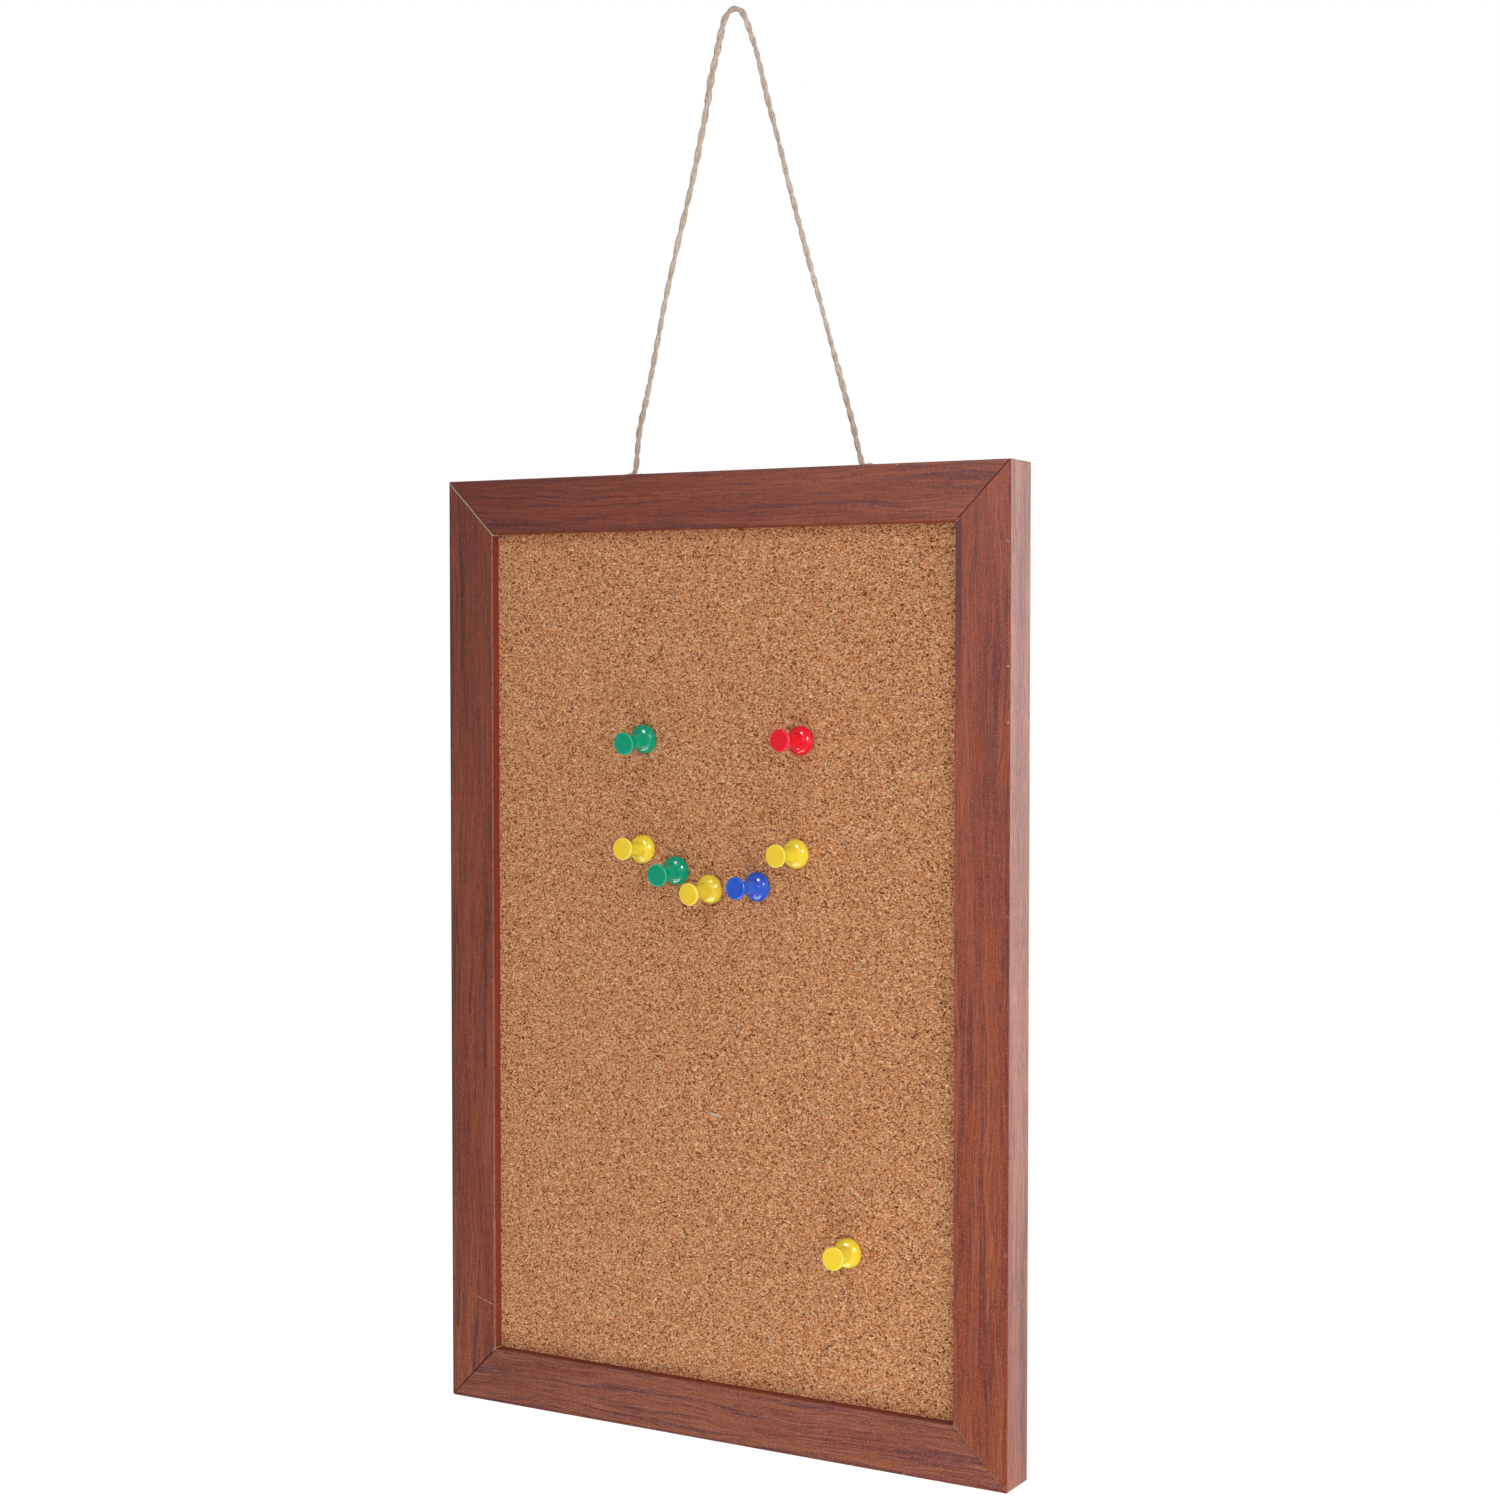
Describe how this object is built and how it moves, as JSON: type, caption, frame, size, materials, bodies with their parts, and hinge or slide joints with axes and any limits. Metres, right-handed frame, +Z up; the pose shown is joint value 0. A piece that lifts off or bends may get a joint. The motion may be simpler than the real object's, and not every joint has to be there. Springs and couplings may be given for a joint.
{
  "type": "cork board",
  "caption": "Portrait cork pinboard in a mitred wood-look frame, with push pins in its cork, hung by a loop of jute twine from screw eyes behind its top rail.",
  "frame": {"origin": "the point where a nail carries the loop of twine, at the underside of the loop's top", "axes": "+X to the right of the board seen from its front, +Y from the front towards the wall, +Z up along the board's long side"},
  "size_m": [0.2, 0.0345, 0.4438],
  "materials": {
    "frame_foil": "printed red-brown foil, satin",
    "cork": "fine granulated cork, matte",
    "softboard": "soft fibreboard, matte",
    "hardboard": "thin hardboard, matte",
    "steel": "plain steel wire and strip",
    "twine": "two-ply jute, matte and hairy",
    "pin_green": "gloss, slightly translucent",
    "pin_red": "gloss, slightly translucent",
    "pin_yellow": "gloss, opaque",
    "pin_blue": "gloss, slightly translucent"
  },
  "bodies": {
    "board": {"frame_top_rail": "frame_foil", "frame_right_rail": "frame_foil", "frame_bottom_rail": "frame_foil", "frame_left_rail": "frame_foil", "vnail_1": "steel", "vnail_2": "steel", "vnail_3": "steel", "vnail_4": "steel", "cork_sheet": "cork", "softboard_core": "softboard", "back_panel": "hardboard", "framers_point_1": "steel", "framers_point_2": "steel", "framers_point_3": "steel", "framers_point_4": "steel", "framers_point_5": "steel", "framers_point_6": "steel", "framers_point_7": "steel", "framers_point_8": "steel", "framers_point_9": "steel", "framers_point_10": "steel", "left_screw_eye": "steel", "right_screw_eye": "steel"},
    "loop": {"hanging_twine": "twine", "left_twine_hitch": "twine", "right_twine_hitch": "twine"},
    "pin_1": {"pin_1_body": "pin_green", "pin_1_needle": "steel"},
    "pin_2": {"pin_2_body": "pin_red", "pin_2_needle": "steel"},
    "pin_3": {"pin_3_body": "pin_yellow", "pin_3_needle": "steel"},
    "pin_4": {"pin_4_body": "pin_green", "pin_4_needle": "steel"},
    "pin_5": {"pin_5_body": "pin_yellow", "pin_5_needle": "steel"},
    "pin_6": {"pin_6_body": "pin_blue", "pin_6_needle": "steel"},
    "pin_7": {"pin_7_body": "pin_yellow", "pin_7_needle": "steel"},
    "pin_8": {"pin_8_body": "pin_yellow", "pin_8_needle": "steel"}
  },
  "joints": [
    {"name": "loop_swing", "type": "hinge", "parent": "board", "child": "loop", "pos_m": [0, 0.007, -0.1505], "axis": [-1, 0, 0], "range_deg": [-15, 182]},
    {"name": "pin_1_pull", "type": "slide", "parent": "board", "child": "pin_1", "axis": [-0.0262, -0.9945, -0.1011], "range_m": [0, 0.01]},
    {"name": "pin_2_pull", "type": "slide", "parent": "board", "child": "pin_2", "axis": [-0.0802, -0.9962, 0.0349], "range_m": [0, 0.01]},
    {"name": "pin_3_pull", "type": "slide", "parent": "board", "child": "pin_3", "axis": [-0.0244, -0.9975, 0.0663], "range_m": [0, 0.01]},
    {"name": "pin_4_pull", "type": "slide", "parent": "board", "child": "pin_4", "axis": [0.0105, -0.9979, -0.0645], "range_m": [0, 0.01]},
    {"name": "pin_5_pull", "type": "slide", "parent": "board", "child": "pin_5", "axis": [-0.075, -0.9941, -0.0785], "range_m": [0, 0.01]},
    {"name": "pin_6_pull", "type": "slide", "parent": "board", "child": "pin_6", "axis": [-0.1115, -0.9934, 0.0279], "range_m": [0, 0.01]},
    {"name": "pin_7_pull", "type": "slide", "parent": "board", "child": "pin_7", "axis": [-0.0698, -0.9975, 0.007], "range_m": [0, 0.01]},
    {"name": "pin_8_pull", "type": "slide", "parent": "board", "child": "pin_8", "axis": [0.0976, -0.9932, 0.0628], "range_m": [0, 0.01]}
  ]
}
